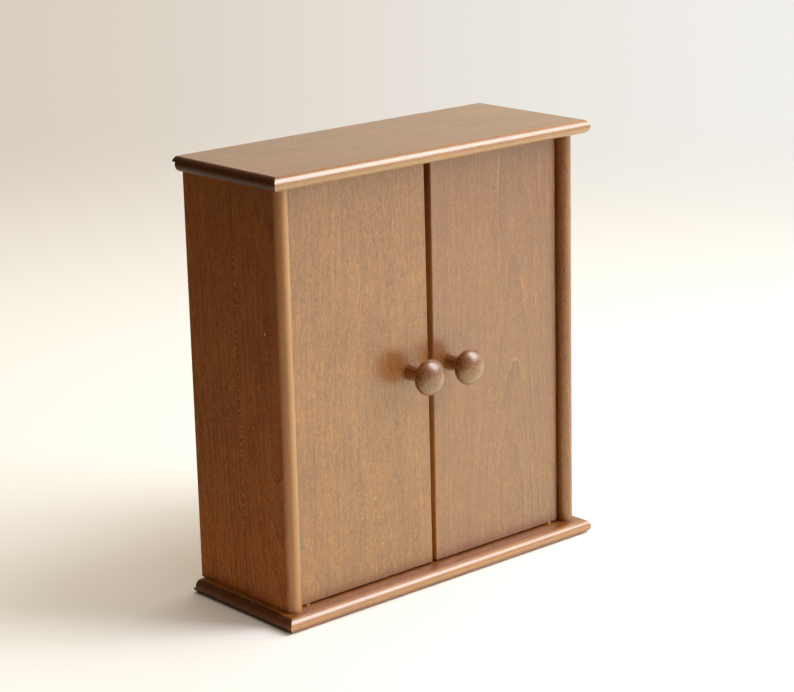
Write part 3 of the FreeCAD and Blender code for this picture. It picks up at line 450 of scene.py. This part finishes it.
def stained_beech(board):
    """Flat-sawn beech, planed and sanded, brown stain, two coats of satin lacquer.

    The eye gets faint arches from the rings, short dark flecks from the rays, fine fibres,
    a stain that lies in soft tan and reddish clouds, and a broad satin sheen.
    """
    finish = bpy.context.scene.cabinet_finish
    cut, pith, taper, ring, figure, run_out, lightness, contrast, redder, full_coat = BOARDS[board]
    number = list(BOARDS).index(board) + 1
    low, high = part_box(board)
    middle = (Vector(low) + Vector(high)) / 2 / MM
    material, tree, output = new_material(f"stained_beech_{board}")

    # the board's own axes in millimetres from its middle, and the same turned to its grain
    place = add(tree, "ShaderNodeTexCoord").outputs["Object"]
    axes = []
    for turn in (CUTS[cut], Matrix.Rotation(math.radians(run_out), 3, "X") @ CUTS[cut]):
        moved = {
            "Vector": place, "Location": -(turn @ middle), "Rotation": turn.to_euler(),
            "Scale": (1 / MM,) * 3,
        }
        axes.append(add(tree, "ShaderNodeMapping", {"vector_type": "POINT"}, moved).outputs[0])
    own, grain = axes
    across, _, along = add(tree, "ShaderNodeSeparateXYZ", None, {0: own}).outputs[:3]
    patterns = grain_patterns(tree, grain, number)
    year, late, pale_line = growth_rings(tree, patterns, own, along, pith, taper, ring)

    # the year's tone and each pattern swing the tone about its middle, late wood and lines one way
    swings = [(year, 0.12 * figure), (late, -0.2 * figure), (pale_line, 0.4 * figure)]
    swings += [(patterns[name][0], PATTERNS[name][3] * contrast) for name in PATTERNS]
    tone = 0.5 - sum(strength for _, strength in swings[:1] + swings[3:]) / 2
    for value, strength in swings:
        if strength:
            inputs = {0: value, 1: strength, 2: tone}
            tone = add(tree, "ShaderNodeMath", {"operation": "MULTIPLY_ADD"}, inputs).outputs[0]
    stain = add(tree, "ShaderNodeValToRGB", None, {0: tone})
    stops = stain.color_ramp.elements
    stops.new(0.5)
    for stop, hex_colour in zip(stops, (finish.stain_dark, finish.stain_middle, finish.stain_pale)):
        stop.color = [channel * lightness for channel in linear(hex_colour)]
    # in soft clouds the stain lies redder
    redness = {
        "Value": patterns["hue"][0], "From Min": 0.35 - redder, "From Max": 0.75 - redder,
        "To Max": 0.45,
    }
    redness = add(tree, "ShaderNodeMapRange", None, redness).outputs[0]
    layers, coat = wear_and_painted_light(tree, board, own, across, along)
    colour = stain.outputs[0]
    for share, hex_colour in [(redness, finish.stain_red), *layers]:
        over = [channel * lightness for channel in linear(hex_colour)]
        mixed = {0: share, 6: colour, 7: over}
        colour = add(tree, "ShaderNodeMix", {"data_type": "RGBA"}, mixed).outputs[2]

    # the flecks lie a little lower than the fibres and the grit
    relief = {0: patterns["flecks"][0], 1: -0.6, 2: patterns["fibres"][0]}
    relief = add(tree, "ShaderNodeMath", {"operation": "MULTIPLY_ADD"}, relief).outputs[0]
    relief = {0: relief, 1: patterns["grit"][0]}
    relief = add(tree, "ShaderNodeMath", {"operation": "ADD"}, relief).outputs[0]
    bump = {"Strength": 0.35, "Distance": 0.03 * MM, "Height": relief}
    bump = add(tree, "ShaderNodeBump", None, bump).outputs[0]
    # the stained fibres have a faint broad gloss of their own under the lacquer's narrower one
    inputs = {
        "Base Color": colour, "Roughness": 0.5, "IOR": 1.5, "Normal": bump,
        "Specular IOR Level": 0.1 * full_coat, "Coat Weight": coat,
        "Coat Roughness": finish.lacquer_roughness, "Coat IOR": 1.5, "Coat Normal": bump,
    }
    surface = add(tree, "ShaderNodeBsdfPrincipled", None, inputs)
    tree.links.new(surface.outputs[0], output.inputs[0])
    return material


def machined_metal(name, colour, roughness, mark):
    """Turned or stamped metal: fine tool marks show as streaks in the gloss."""
    material, tree, output = new_material(name)
    place = add(tree, "ShaderNodeTexCoord").outputs["Object"]
    size = {"Vector": place, "Scale": (1 / mark, 1 / mark, 6 / mark)}
    scaled = add(tree, "ShaderNodeMapping", {"vector_type": "POINT"}, size).outputs[0]
    marks = {"Vector": scaled, "Scale": 1.0, "Detail": 3.0}
    marks = add(tree, "ShaderNodeTexNoise", None, marks).outputs[0]
    gloss = {"Value": marks, "To Min": roughness - 0.08, "To Max": roughness + 0.1}
    gloss = add(tree, "ShaderNodeMapRange", None, gloss).outputs[0]
    bump = {"Strength": 0.2, "Distance": 0.02 * MM, "Height": marks}
    bump = add(tree, "ShaderNodeBump", None, bump).outputs[0]
    inputs = {"Base Color": linear(colour), "Metallic": 1.0, "Roughness": gloss, "Normal": bump}
    surface = add(tree, "ShaderNodeBsdfPrincipled", None, inputs)
    tree.links.new(surface.outputs[0], output.inputs[0])
    return material


def dull_solid(name, pale, dark, roughness, ior, grain):
    """A solid without gloss streaks, mottled between two colours in lumps of a real size."""
    material, tree, output = new_material(name)
    place = add(tree, "ShaderNodeTexCoord").outputs["Object"]
    size = {"Vector": place, "Scale": [1 / length for length in grain]}
    scaled = add(tree, "ShaderNodeMapping", {"vector_type": "POINT"}, size).outputs[0]
    lumps = {"Vector": scaled, "Scale": 1.0, "Detail": 4.0, "Roughness": 0.6}
    lumps = add(tree, "ShaderNodeTexNoise", None, lumps).outputs[0]
    blend = add(tree, "ShaderNodeValToRGB", None, {0: lumps})
    stops = blend.color_ramp.elements
    stops[0].position, stops[0].color = 0.3, linear(dark)
    stops[1].position, stops[1].color = 0.7, linear(pale)
    bump = {"Strength": 0.3, "Distance": 0.03 * MM, "Height": lumps}
    bump = add(tree, "ShaderNodeBump", None, bump).outputs[0]
    inputs = {"Base Color": blend.outputs[0], "Roughness": roughness, "IOR": ior, "Normal": bump}
    surface = add(tree, "ShaderNodeBsdfPrincipled", None, inputs)
    tree.links.new(surface.outputs[0], output.inputs[0])
    return material


# Modelling by hand
def block(name, low, high):
    """A cube primitive at its size and place, alone selected and in edit mode."""
    low, high = Vector(low), Vector(high)
    bpy.ops.object.select_all(action="DESELECT")
    bpy.ops.mesh.primitive_cube_add(size=1, location=(low + high) / 2, scale=high - low)
    bpy.ops.object.transform_apply(location=True, rotation=True, scale=True)
    piece = bpy.context.object
    piece.name = name
    bpy.ops.object.mode_set(mode="EDIT")
    return piece


def choose(kind, test):
    """Selects the vertices, edges or faces, in edit mode, whose middle passes the test."""
    bpy.ops.mesh.select_mode(type=kind)
    bpy.ops.mesh.select_all(action="DESELECT")
    data = bpy.context.object.data
    mesh = bmesh.from_edit_mesh(data)
    parts = {"VERT": mesh.verts, "EDGE": mesh.edges, "FACE": mesh.faces}[kind]
    for part in parts:
        corners = [part.co] if kind == "VERT" else [corner.co for corner in part.verts]
        if test(sum(corners, Vector()) / len(corners), part):
            part.select_set(True)
    mesh.select_flush_mode()
    bmesh.update_edit_mesh(data)


def near(one, other):
    """Whether two places along an axis are one."""
    return abs(one - other) < CLOSE


def runs_along(edge, axis):
    """Whether an edge is parallel to an axis."""
    run = (edge.verts[1].co - edge.verts[0].co).normalized()
    return abs(run[axis]) > 0.99


def apply_modifiers(piece):
    """Applies all modifiers of the active piece."""
    for modifier in list(piece.modifiers):
        bpy.ops.object.modifier_apply(modifier=modifier.name)


def soften(piece, width):
    """Rounds what is still sharp, as sandpaper does."""
    bpy.ops.object.mode_set(mode="OBJECT")
    sanding = piece.modifiers.new("sanding", "BEVEL")
    sanding.width = width
    sanding.segments = 2
    sanding.limit_method = "ANGLE"
    sanding.angle_limit = math.radians(32)
    apply_modifiers(piece)


def bore(piece, node):
    """Bores the round hole that a CAD bush stands in."""
    low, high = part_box(node)
    middle = (Vector(low) + Vector(high)) / 2
    bpy.ops.object.select_all(action="DESELECT")
    bpy.ops.mesh.primitive_cylinder_add(
        vertices=48, radius=(high[0] - low[0]) / 2, depth=high[2] - low[2] + CLOSE, location=middle
    )
    drill = bpy.context.object
    bpy.ops.object.transform_apply(location=True, rotation=True, scale=True)
    drill.select_set(False)
    bpy.context.view_layer.objects.active = piece
    piece.select_set(True)
    cut = piece.modifiers.new("bore", "BOOLEAN")
    cut.operation = "DIFFERENCE"
    cut.object = drill
    apply_modifiers(piece)
    bpy.data.objects.remove(drill)


def stand_for(piece, node):
    """Puts a finished wooden piece in the place of its CAD node, with its stained beech."""
    if piece.mode == "EDIT":
        bpy.ops.object.mode_set(mode="OBJECT")
    bpy.ops.object.select_all(action="DESELECT")
    piece.select_set(True)
    bpy.context.view_layer.objects.active = piece
    bpy.ops.object.shade_smooth_by_angle(angle=math.radians(35))
    # flat faces stay flat in the light, however their edges are rounded
    piece.modifiers.new("even_shading", "WEIGHTED_NORMAL").keep_sharp = True
    apply_modifiers(piece)
    piece.data.materials.clear()
    piece.data.materials.append(stained_beech(node))
    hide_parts(node)
    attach(piece, body_of(NODES[node])[0])


class CABINET_OT_top_and_base(bpy.types.Operator):
    """Models the top and base boards, half-round in front and at both ends, with a lip behind"""

    bl_idname = "cabinet.top_and_base"
    bl_label = "Top and Base"

    def execute(self, context):
        sizes = context.scene.cabinet_sizes
        for node, bushes in (("top_board", "head_bush"), ("base_board", "foot_bush")):
            low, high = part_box(node)
            board = block(f"moulded_{node}", low, (high[0], PANEL_FRONT, high[2]))

            # the half-round nose meets itself in a mitre at each front corner
            def is_outer_edge(middle, edge):
                on_end = near(abs(middle.x), high[0]) and runs_along(edge, 1)
                return on_end or (near(middle.y, low[1]) and runs_along(edge, 0))

            choose("EDGE", is_outer_edge)
            nose = (high[2] - low[2]) / 2 * NOSE_SHARE
            bpy.ops.mesh.bevel(offset=nose, segments=NOSE_SEGMENTS, profile=0.5, affect="EDGES")

            # the rabbet's lip runs on to the back edge
            is_top = node == "top_board"
            parting = high[2] - sizes.lip_thick if is_top else low[2] + sizes.lip_thick
            bpy.ops.mesh.select_all(action="SELECT")
            bpy.ops.mesh.bisect(plane_co=(0, 0, parting), plane_no=(0, 0, 1))
            choose("FACE", lambda middle, face: face.normal.y > 0.9 and (middle.z > parting) == is_top)
            bpy.ops.mesh.extrude_region_move(TRANSFORM_OT_translate={"value": LIP_RUN})
            soften(board, sizes.mitre_softness)
            for name, _ in SIDES:
                bore(board, f"{name}_{bushes}")
            stand_for(board, node)
        return {"FINISHED"}


class CABINET_OT_sides(bpy.types.Operator):
    """Models both sides, each a half-round front board and a rabbeted rear board"""

    bl_idname = "cabinet.sides"
    bl_label = "Sides"

    def execute(self, context):
        sizes = context.scene.cabinet_sizes
        for name, sign in SIDES:
            node = f"{name}_side_front_board"
            low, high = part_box(node)
            outer = high[0] if sign > 0 else low[0]
            front = block(f"rounded_{node}", low, high)
            choose("EDGE", lambda middle, edge: near(middle.y, low[1]) and runs_along(edge, 2))
            nose = (high[0] - low[0]) / 2 * NOSE_SHARE
            bpy.ops.mesh.bevel(offset=nose, segments=NOSE_SEGMENTS, profile=0.5, affect="EDGES")
            self.groove(outer, sizes)
            stand_for(front, node)

            node = f"{name}_side_rear_board"
            low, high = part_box(node)
            outer = high[0] if sign > 0 else low[0]
            rear = block(f"rabbeted_{node}", low, (high[0], PANEL_FRONT, high[2]))
            parting = outer - sign * sizes.side_lip_thick
            bpy.ops.mesh.select_all(action="SELECT")
            bpy.ops.mesh.bisect(plane_co=(parting, 0, 0), plane_no=(1, 0, 0))
            choose("FACE", lambda middle, face: face.normal.y > 0.9 and sign * middle.x > sign * parting)
            bpy.ops.mesh.extrude_region_move(TRANSFORM_OT_translate={"value": LIP_RUN})
            choose("EDGE", lambda middle, edge: near(middle.x, outer) and near(middle.y, PANEL_BACK))
            bpy.ops.mesh.bevel(offset=2 * sizes.mitre_softness, segments=3, profile=0.5, affect="EDGES")
            self.groove(outer, sizes)
            stand_for(rear, node)
        return {"FINISHED"}

    def groove(self, outer, sizes):
        """Half of the fine groove that opens at the glue line on the outer face."""
        choose("EDGE", lambda middle, edge: near(middle.x, outer) and near(middle.y, SIDE_SEAM))
        bpy.ops.mesh.bevel(offset=sizes.seam_groove / 2, segments=1, affect="EDGES")


class CABINET_OT_doors(bpy.types.Operator):
    """Models both doors, each a hinge board and a knob board glued edge to edge"""

    bl_idname = "cabinet.doors"
    bl_label = "Doors"

    def execute(self, context):
        sizes = context.scene.cabinet_sizes
        for name, sign in SIDES:
            hinge_low, hinge_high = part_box(f"{name}_door_hinge_board")
            seam = hinge_low[0] if sign > 0 else hinge_high[0]
            for kind in ("hinge", "knob"):
                node = f"{name}_door_{kind}_board"
                low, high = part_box(node)
                board = block(f"eased_{node}", low, high)
                if kind == "knob":
                    meeting = low[0] if sign > 0 else high[0]
                    choose("VERT", lambda middle, _: near(middle.x, meeting) and near(middle.z, high[2]))
                    bpy.ops.transform.translate(value=(sign * sizes.meeting_lean, 0, 0))

                def is_arris(middle, edge):
                    return not near(edge.verts[0].co.x, seam) or not near(edge.verts[1].co.x, seam)

                choose("EDGE", is_arris)
                bpy.ops.mesh.bevel(offset=sizes.door_arris, segments=4, profile=0.5, affect="EDGES")
                choose("EDGE", lambda middle, edge: near(middle.x, seam) and runs_along(edge, 2))
                bpy.ops.mesh.bevel(offset=sizes.seam_groove / 2, segments=1, affect="EDGES")
                stand_for(board, node)
        return {"FINISHED"}


class CABINET_OT_shelf(bpy.types.Operator):
    """Models the fixed shelf with its eased front edge"""

    bl_idname = "cabinet.shelf"
    bl_label = "Shelf"

    def execute(self, context):
        low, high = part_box("shelf")
        shelf = block("eased_shelf", low, high)
        choose("EDGE", lambda middle, edge: near(middle.y, low[1]) and runs_along(edge, 0))
        arris = context.scene.cabinet_sizes.shelf_arris
        bpy.ops.mesh.bevel(offset=arris, segments=4, profile=0.5, affect="EDGES")
        stand_for(shelf, "shelf")
        return {"FINISHED"}


class CABINET_OT_knobs(bpy.types.Operator):
    """Turns one knob from a disc, ring by ring, and copies it to the other door"""

    bl_idname = "cabinet.knobs"
    bl_label = "Knobs"

    def profile(self, sizes, radius, projection):
        """Radius and distance from the door at each ring, from the foot to the crown."""
        half_head = sizes.knob_head_thick / 2
        start = math.acos(sizes.knob_neck / radius)
        neck_end = projection - half_head - half_head * math.sin(start)
        rings = []
        for step in range(STEM_RINGS + 1):
            part = step / STEM_RINGS
            straight = sizes.knob_foot + (sizes.knob_neck - sizes.knob_foot) * part
            rings.append((straight - sizes.knob_waist * 4 * part * (1 - part), neck_end * part))
        # the last ring stops half a step short of the crown, and is merged into one point there
        for step in range(1, HEAD_RINGS + 1):
            angle = -start + (math.pi / 2 + start) * step / (HEAD_RINGS + 0.5)
            rings.append((radius * math.cos(angle), projection - half_head + half_head * math.sin(angle)))
        return rings

    def execute(self, context):
        sizes = context.scene.cabinet_sizes
        low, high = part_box("left_knob")
        middle = (Vector(low) + Vector(high)) / 2
        rings = self.profile(sizes, (high[2] - low[2]) / 2, high[1] - low[1])
        bpy.ops.object.select_all(action="DESELECT")
        bpy.ops.mesh.primitive_circle_add(
            vertices=72, radius=rings[0][0], fill_type="NGON", location=(middle.x, high[1], middle.z),
            rotation=(math.radians(90), 0, 0),
        )
        bpy.ops.object.transform_apply(location=True, rotation=True, scale=True)
        knob = bpy.context.object
        knob.name = "turned_left_knob"
        bpy.ops.object.mode_set(mode="EDIT")
        bpy.ops.mesh.select_mode(type="FACE")
        bpy.ops.mesh.select_all(action="SELECT")
        for (old_radius, old_out), (new_radius, out) in zip(rings, rings[1:]):
            bpy.ops.mesh.extrude_region_move(TRANSFORM_OT_translate={"value": (0, old_out - out, 0)})
            share = new_radius / old_radius
            centre = (middle.x, high[1] - out, middle.z)
            bpy.ops.transform.resize(value=(share, 1, share), center_override=centre)
        bpy.ops.mesh.merge(type="CENTER")
        bpy.ops.mesh.select_all(action="SELECT")
        bpy.ops.mesh.normals_make_consistent(inside=False)
        bpy.ops.object.mode_set(mode="OBJECT")

        bpy.ops.object.duplicate()
        twin = bpy.context.object
        twin.name = "turned_right_knob"
        twin_low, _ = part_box("right_knob")
        bpy.ops.transform.translate(value=(twin_low[0] - low[0], 0, 0))
        bpy.ops.object.transform_apply(location=True, rotation=True, scale=True)
        stand_for(knob, "left_knob")
        stand_for(twin, "right_knob")
        return {"FINISHED"}


class CABINET_OT_fittings(bpy.types.Operator):
    """Finishes the fittings, the dowels and the back panel that the frame models"""

    bl_idname = "cabinet.fittings"
    bl_label = "Fittings"

    def execute(self, context):
        # yellow brass, turned: a warm gleam
        brass = machined_metal("turned_brass", "#C9A35C", 0.3, 0.3 * MM)
        # zinc-plated steel: a cool grey gleam
        steel = machined_metal("zinc_plated_steel", "#A9AAA8", 0.38, 0.3 * MM)
        # sintered ferrite, ground: near black with a fine speckle
        ferrite = dull_solid("sintered_ferrite", "#3A3A3C", "#1E1E20", 0.55, 2.2, (0.4 * MM,) * 3)
        # moulded ABS: brown, with a fine spark-eroded texture
        plastic = dull_solid("moulded_brown_abs", "#5A3A22", "#4A2E1A", 0.5, 1.53, (0.5 * MM,) * 3)
        # unstained beech rod: pale, with pores along it
        dowel = dull_solid("bare_beech_rod", "#D9B388", "#BD9166", 0.7, 1.5, (0.5 * MM, 0.5 * MM, 8 * MM))
        # plywood, stained but not lacquered: dull, with streaks along the grain
        streaks = (2.5 * MM, 2 * MM, 45 * MM)
        plywood = dull_solid("stained_plywood", "#A06A38", "#7E4A22", 0.65, 1.5, streaks)
        # by the last word of the node's name
        finishes = {
            "bush": brass, "washer": brass, "insert": brass, "plate": steel, "pin": steel, "pins": steel,
            "screw": steel, "screws": steel, "case": plastic, "magnets": ferrite, "dowels": dowel,
            "panel": plywood,
        }
        for name, node in NODES.items():
            if name not in BOARDS:
                finish = finishes[name.rsplit("_", 1)[1]]
                node.data.materials.clear()
                node.data.materials.append(finish)
        return {"FINISHED"}


# Where the room's soft light comes from, its sRGB hex colour and strength, and how narrow it is:
# the wall beside the window, the wall at the right and the ceiling
ROOM = (
    ((0.757, -0.653, 0.0), "#F5FAFF", 1.0, 2.0),
    ((0.966, 0.259, 0.0), "#FFF5DC", 1.4, 2.0),
    ((0.0, 0.0, 1.0), "#FFF1DA", 1.3, 6.0),
)
# The faint light from everywhere, under the soft lights: its sRGB hex colour and strength
ROOM_BASE = ("#FFF0DC", 0.03)
# All in metres. Place, aim and size of the window's soft light and of its brighter panes
WINDOW = ((0.9425, -0.986, 1.663), (0, 0, 0.2), (0.8, 1.9))
PANES = ((1.05, -1.1, 1.35), (0, 0, 0.2), (1.2, 1.8))
# Sizes of the lights that stand for the bright table, and how high above the floor they lie
TABLE_SIZE = (1.6, 1.73)
BOUNCE_SIZE = (0.2, 0.3)
JUST_ABOVE = 0.004
# The floor's radius, and the distances from its middle between which it fades out
FLOOR_RADIUS = 2.4
FLOOR_FADE = (0.75, 2.3)


class CABINET_OT_stage(bpy.types.Operator):
    """Sets the floor, the lights, the background and the camera"""

    bl_idname = "cabinet.stage"
    bl_label = "Stage"

    def area_light(self, name, place, aim, size, power, colour):
        """A rectangular light that the camera doesn't see. Without an aim it faces up."""
        bpy.ops.object.light_add(type="AREA", location=place)
        light = bpy.context.object
        light.name = name
        light.data.shape = "RECTANGLE"
        light.data.size, light.data.size_y = size
        light.data.energy = power
        light.data.color = linear(colour)[:3]
        if aim is None:
            light.rotation_euler = (math.pi, 0, 0)
        else:
            light.rotation_euler = (Vector(place) - Vector(aim)).to_track_quat("Z", "Y").to_euler()
        light.visible_camera = False
        return light

    def floor(self, stage):
        """The painted board that the cabinet stands on."""
        bpy.ops.object.select_all(action="DESELECT")
        bpy.ops.mesh.primitive_circle_add(vertices=96, radius=FLOOR_RADIUS, fill_type="NGON")
        floor = bpy.context.object
        floor.name = "floor"
        # painted board: the colour alone, faded out towards the rim so that no horizon shows
        material, tree, output = new_material("painted_floor")
        place = add(tree, "ShaderNodeTexCoord").outputs["Object"]
        far = add(tree, "ShaderNodeVectorMath", {"operation": "LENGTH"}, {0: place}).outputs["Value"]
        fade = {"Value": far, "From Min": FLOOR_FADE[0], "From Max": FLOOR_FADE[1]}
        fade = add(tree, "ShaderNodeMapRange", {"interpolation_type": "SMOOTHSTEP"}, fade).outputs[0]
        # the camera and the gloss see it nearly white, and the object gets the paint's own bounce
        rays = add(tree, "ShaderNodeLightPath").outputs
        seen = rays["Is Camera Ray"]
        for kind in ("Is Glossy Ray", "Is Transmission Ray"):
            seen = {0: seen, 1: rays[kind]}
            seen = add(tree, "ShaderNodeMath", {"operation": "MAXIMUM"}, seen).outputs[0]
        paint = linear(stage.floor_colour)
        pale = [channel * stage.floor_lift for channel in paint[:3]] + [1.0]
        paint = {0: seen, 6: paint, 7: pale}
        paint = add(tree, "ShaderNodeMix", {"data_type": "RGBA"}, paint).outputs[2]
        paint = add(tree, "ShaderNodeBsdfDiffuse", None, {"Color": paint}).outputs[0]
        clear = add(tree, "ShaderNodeBsdfTransparent").outputs[0]
        mixed = add(tree, "ShaderNodeMixShader", None, {0: fade, 1: paint, 2: clear})
        tree.links.new(mixed.outputs[0], output.inputs[0])
        floor.data.materials.append(material)

    def background(self, scene, stage):
        """The room's soft light, and what the camera sees behind the cabinet."""
        world = bpy.data.worlds.new("room")
        scene.world = world
        world.use_nodes = True
        tree = world.node_tree
        tree.nodes.clear()
        output = tree.nodes.new("ShaderNodeOutputWorld")
        direction = add(tree, "ShaderNodeTexCoord").outputs["Generated"]

        colour, strength = ROOM_BASE
        light = Vector(linear(colour)[:3]) * strength
        for axis, colour, strength, width in ROOM:
            facing = {0: direction, 1: axis}
            facing = add(tree, "ShaderNodeVectorMath", {"operation": "DOT_PRODUCT"}, facing)
            facing = {0: facing.outputs["Value"], 1: 0.0}
            facing = add(tree, "ShaderNodeMath", {"operation": "MAXIMUM"}, facing).outputs[0]
            lobe = add(tree, "ShaderNodeMath", {"operation": "POWER"}, {0: facing, 1: width}).outputs[0]
            lobe = {0: lobe, 1: Vector(linear(colour)[:3]) * strength, 2: light}
            light = add(tree, "ShaderNodeVectorMath", {"operation": "MULTIPLY_ADD"}, lobe).outputs[0]
        room = {"Color": light, "Strength": stage.room_level}
        room = add(tree, "ShaderNodeBackground", None, room).outputs[0]
        # what the camera sees runs from the dim to the bright side, towards the window
        span = {0: direction, 1: ROOM[0][0]}
        span = add(tree, "ShaderNodeVectorMath", {"operation": "DOT_PRODUCT"}, span).outputs["Value"]
        span = {"Value": span, "From Min": -0.2, "From Max": 0.2}
        span = add(tree, "ShaderNodeMapRange", {"interpolation_type": "SMOOTHSTEP"}, span).outputs[0]
        inputs = {0: span, 6: linear(stage.backdrop_dim), 7: linear(stage.backdrop_bright)}
        seen = add(tree, "ShaderNodeMix", {"data_type": "RGBA"}, inputs).outputs[2]
        seen = add(tree, "ShaderNodeBackground", None, {"Color": seen, "Strength": 1.0}).outputs[0]
        rays = add(tree, "ShaderNodeLightPath").outputs["Is Camera Ray"]
        mixed = add(tree, "ShaderNodeMixShader", None, {0: rays, 1: room, 2: seen})
        tree.links.new(mixed.outputs[0], output.inputs[0])

    def camera(self, scene, stage):
        """The camera at the photo's view."""
        bpy.ops.object.camera_add(location=stage.camera_place)
        camera = bpy.context.object
        camera.name = "camera"
        camera.data.lens = stage.lens
        camera.data.sensor_width = 36.0
        camera.data.clip_start, camera.data.clip_end = 0.05, 20.0
        turn = (
            Matrix.Rotation(-stage.camera_azimuth, 3, "Z")
            @ Matrix.Rotation(math.pi / 2 - stage.camera_fall, 3, "X")
            @ Matrix.Rotation(stage.camera_roll, 3, "Z")
        )
        camera.rotation_euler = turn.to_euler()
        scene.camera = camera

    def execute(self, context):
        stage = context.scene.cabinet_stage
        self.floor(stage)
        # a tall window in front and to the right, and its brighter panes, which only the gloss shows
        self.area_light("window_light", *WINDOW, stage.window_power, "#F2F9FF")
        panes = self.area_light("window_panes", *PANES, stage.window_gleam, "#F4F9FF")
        panes.visible_diffuse = False
        # the bright table from the base's front and left end on, which only the gloss shows
        low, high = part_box("base_board")
        wide, deep = TABLE_SIZE
        place = (low[0] + wide / 2, low[1] - deep / 2, JUST_ABOVE)
        power = stage.table_sheen * math.pi * wide * deep
        table = self.area_light("table_sheen", place, None, TABLE_SIZE, power, "#F0FFD0")
        table.visible_diffuse = False
        # the table lights the foot of the left side from below
        place = (low[0] - BOUNCE_SIZE[0] / 2, (low[1] + high[1]) / 2, JUST_ABOVE)
        power = stage.floor_bounce
        bounce = self.area_light("floor_bounce", place, None, BOUNCE_SIZE, power, "#FFEFD6")
        bounce.visible_glossy = False
        self.background(context.scene, stage)
        self.camera(context.scene, stage)
        context.scene.view_settings.view_transform = "Standard"
        return {"FINISHED"}


STEPS = (
    CABINET_OT_top_and_base, CABINET_OT_sides, CABINET_OT_doors, CABINET_OT_shelf, CABINET_OT_knobs,
    CABINET_OT_fittings, CABINET_OT_stage,
)


class CABINET_PT_sidebar(bpy.types.Panel):
    """Lists the steps and the settings"""

    bl_label = "Desktop Cabinet"
    bl_idname = "CABINET_PT_sidebar"
    bl_space_type = "VIEW_3D"
    bl_region_type = "UI"
    bl_category = "Cabinet"

    def draw(self, context):
        for step in STEPS:
            self.layout.operator(step.bl_idname)
        for name in GROUPS:
            group = getattr(context.scene, name)
            box = self.layout.box()
            for setting in group.bl_rna.properties.keys():
                if setting not in ("rna_type", "name"):
                    box.prop(group, setting)


GROUPS = {"cabinet_sizes": CabinetSizes, "cabinet_finish": WoodFinish, "cabinet_stage": StageSettings}
CLASSES = (*GROUPS.values(), *STEPS, CABINET_PT_sidebar)


def register():
    for item in CLASSES:
        bpy.utils.register_class(item)
    for name, group in GROUPS.items():
        setattr(bpy.types.Scene, name, bpy.props.PointerProperty(type=group))


def unregister():
    for name in GROUPS:
        delattr(bpy.types.Scene, name)
    for item in reversed(CLASSES):
        bpy.utils.unregister_class(item)


def main():
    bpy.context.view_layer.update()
    register()
    bpy.ops.cabinet.top_and_base()
    bpy.ops.cabinet.sides()
    bpy.ops.cabinet.doors()
    bpy.ops.cabinet.shelf()
    bpy.ops.cabinet.knobs()
    bpy.ops.cabinet.fittings()
    bpy.ops.cabinet.stage()


if __name__ == "__main__":
    main()
